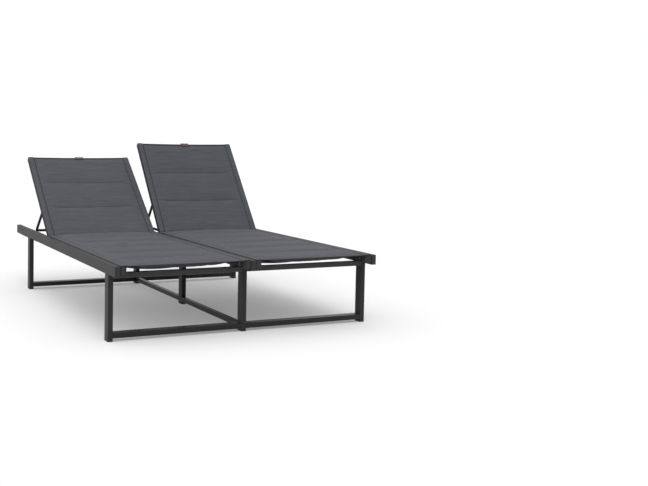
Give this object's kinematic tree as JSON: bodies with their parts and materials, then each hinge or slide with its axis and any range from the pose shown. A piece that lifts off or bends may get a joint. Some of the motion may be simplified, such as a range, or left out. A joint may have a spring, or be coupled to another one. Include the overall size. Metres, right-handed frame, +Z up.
{
  "type": "double chaise lounger",
  "caption": "Low double sun lounger: powder-coated tube frame with side-by-side padded slings and separately reclining backs propped on notched racks.",
  "frame": {"origin": "on the floor under the middle of the frame", "axes": "+Z up, +Y from the foot end to the head end, +X to the right seen from the foot end"},
  "size_m": [1.38, 2, 0.8897],
  "materials": {
    "frame": "satin powder coat, fine texture",
    "plastic": "matte",
    "rubber": "matte",
    "steel": "satin",
    "rod": "satin powder coat",
    "nylon": "matte",
    "sling": "padded woven mesh",
    "tab": "woven tape"
  },
  "bodies": {
    "root": {"left_rail": "frame", "centre_rail": "frame", "right_rail": "frame", "front_left_leg": "frame", "front_centre_leg": "frame", "front_right_leg": "frame", "middle_leg": "frame", "rear_left_leg": "frame", "rear_centre_leg": "frame", "rear_right_leg": "frame", "front_left_crossbar": "frame", "front_right_crossbar": "frame", "rear_left_crossbar": "frame", "rear_right_crossbar": "frame", "front_left_stretcher": "frame", "front_right_stretcher": "frame", "rear_left_stretcher": "frame", "rear_right_stretcher": "frame", "centre_front_stretcher": "frame", "centre_rear_stretcher": "frame", "left_seat_outer_tube": "frame", "left_seat_inner_tube": "frame", "right_seat_inner_tube": "frame", "right_seat_outer_tube": "frame", "left_seat_spreaders": "frame", "right_seat_spreaders": "frame", "left_outer_rack": "frame", "left_inner_rack": "frame", "right_inner_rack": "frame", "right_outer_rack": "frame", "rail_end_caps": "plastic", "seat_tube_plugs": "plastic", "foot_glides": "rubber", "seat_spacers": "nylon", "seat_bolts": "steel", "rack_screws": "steel", "back_hinge_bolts": "steel", "left_seat_sling": "sling", "right_seat_sling": "sling"},
    "left_back": {"left_back_outer_tube": "frame", "left_back_inner_tube": "frame", "left_back_top_bar": "frame", "left_back_cross_bars": "frame", "left_back_sling": "sling", "left_back_bushes": "nylon", "left_back_tube_plugs": "plastic", "left_back_tab": "tab", "left_bail_pins": "steel"},
    "left_bail": {"left_bail": "rod"},
    "right_back": {"right_back_outer_tube": "frame", "right_back_inner_tube": "frame", "right_back_top_bar": "frame", "right_back_cross_bars": "frame", "right_back_sling": "sling", "right_back_bushes": "nylon", "right_back_tube_plugs": "plastic", "right_back_tab": "tab", "right_bail_pins": "steel"},
    "right_bail": {"right_bail": "rod"}
  },
  "joints": [
    {"name": "left_back_recline", "type": "hinge", "parent": "root", "child": "left_back", "pos_m": [-0.33875, 0.308, 0.3465], "axis": [1, 0, 0], "range_deg": [-39.79, 21.48]},
    {"name": "left_bail_swing", "type": "hinge", "parent": "left_back", "child": "left_bail", "pos_m": [-0.33875, 0.527, 0.52888], "axis": [1, 0, 0], "range_deg": [-43, 79.6]},
    {"name": "right_back_recline", "type": "hinge", "parent": "root", "child": "right_back", "pos_m": [0.33875, 0.308, 0.3465], "axis": [1, 0, 0], "range_deg": [-51.35, 9.92]},
    {"name": "right_bail_swing", "type": "hinge", "parent": "right_back", "child": "right_bail", "pos_m": [0.33875, 0.486, 0.56908], "axis": [1, 0, 0], "range_deg": [-19.86, 102.72]}
  ],
  "couplings": [
    {"joint": "left_bail_swing", "follows": "left_back_recline", "ratio": -2},
    {"joint": "right_bail_swing", "follows": "right_back_recline", "ratio": -2}
  ]
}
